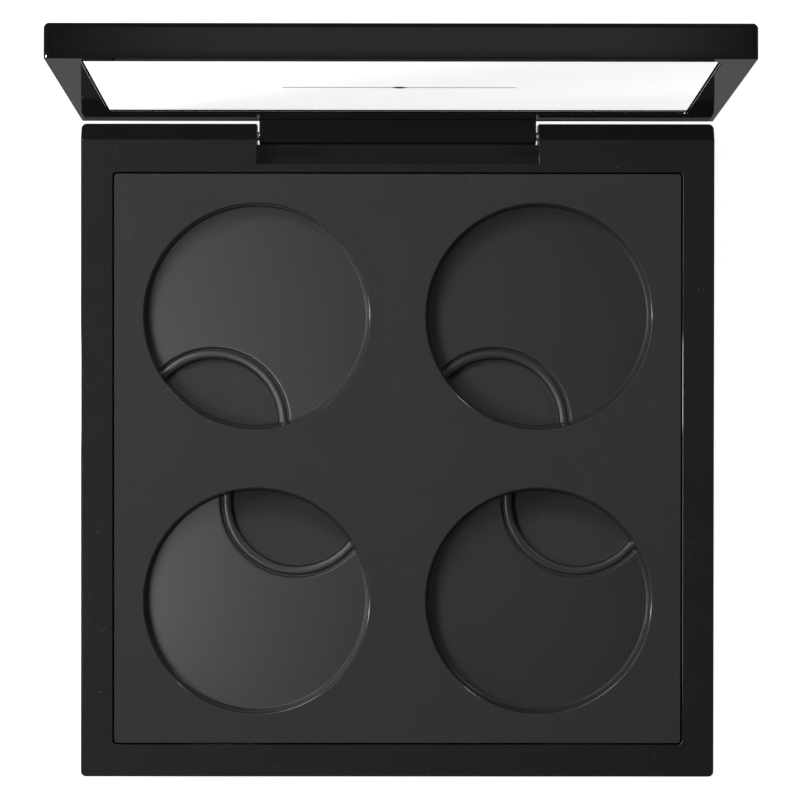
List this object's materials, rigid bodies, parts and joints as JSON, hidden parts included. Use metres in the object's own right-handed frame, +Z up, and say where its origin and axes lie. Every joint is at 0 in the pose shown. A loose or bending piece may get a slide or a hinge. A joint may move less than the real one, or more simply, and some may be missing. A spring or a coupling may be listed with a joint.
{
  "type": "refillable eyeshadow palette",
  "caption": "Slim square gloss-black make-up palette, standing open, with a charcoal tray of round pan wells with tilt pockets and a hinged lid framing a clear window.",
  "frame": {"origin": "centre of the base's underside, on the table", "axes": "+X to the right along the hinge, +Y towards the hinge at the rear, +Z up"},
  "size_m": [0.075, 0.0855, 0.0821],
  "materials": {
    "gloss_black": "black, highly polished moulded plastic",
    "gloss_black_lid": "black, highly polished moulded plastic",
    "tray_charcoal": "dark grey with a fine matt grain",
    "clear_window": "clear polished plastic",
    "pin_steel": "plain drawn steel",
    "nickel_magnet": "nickel plated",
    "tape_white": "thin white double-sided tape",
    "tape_black": "thin black double-sided tape",
    "label_paper": "blank light grey label",
    "print_silver": "thin silver-grey print"
  },
  "bodies": {
    "base": {"base_shell": "gloss_black", "pan_tray": "tray_charcoal", "tray_tape": "tape_white", "pan_magnet_rear_left": "nickel_magnet", "pan_magnet_rear_right": "nickel_magnet", "pan_magnet_front_left": "nickel_magnet", "pan_magnet_front_right": "nickel_magnet", "base_magnet_left": "nickel_magnet", "base_magnet_right": "nickel_magnet", "hinge_pin_left": "pin_steel", "hinge_pin_right": "pin_steel", "base_label": "label_paper"},
    "lid": {"lid_frame": "gloss_black_lid", "window_pane": "clear_window", "window_tape": "tape_black", "lid_magnet_left": "nickel_magnet", "lid_magnet_right": "nickel_magnet", "window_print": "print_silver"}
  },
  "joints": [
    {"name": "lid_hinge", "type": "hinge", "parent": "base", "child": "lid", "pos_m": [0, 0.0372, 0.0064], "axis": [-1, 0, 0], "range_deg": [-93, 7]}
  ]
}
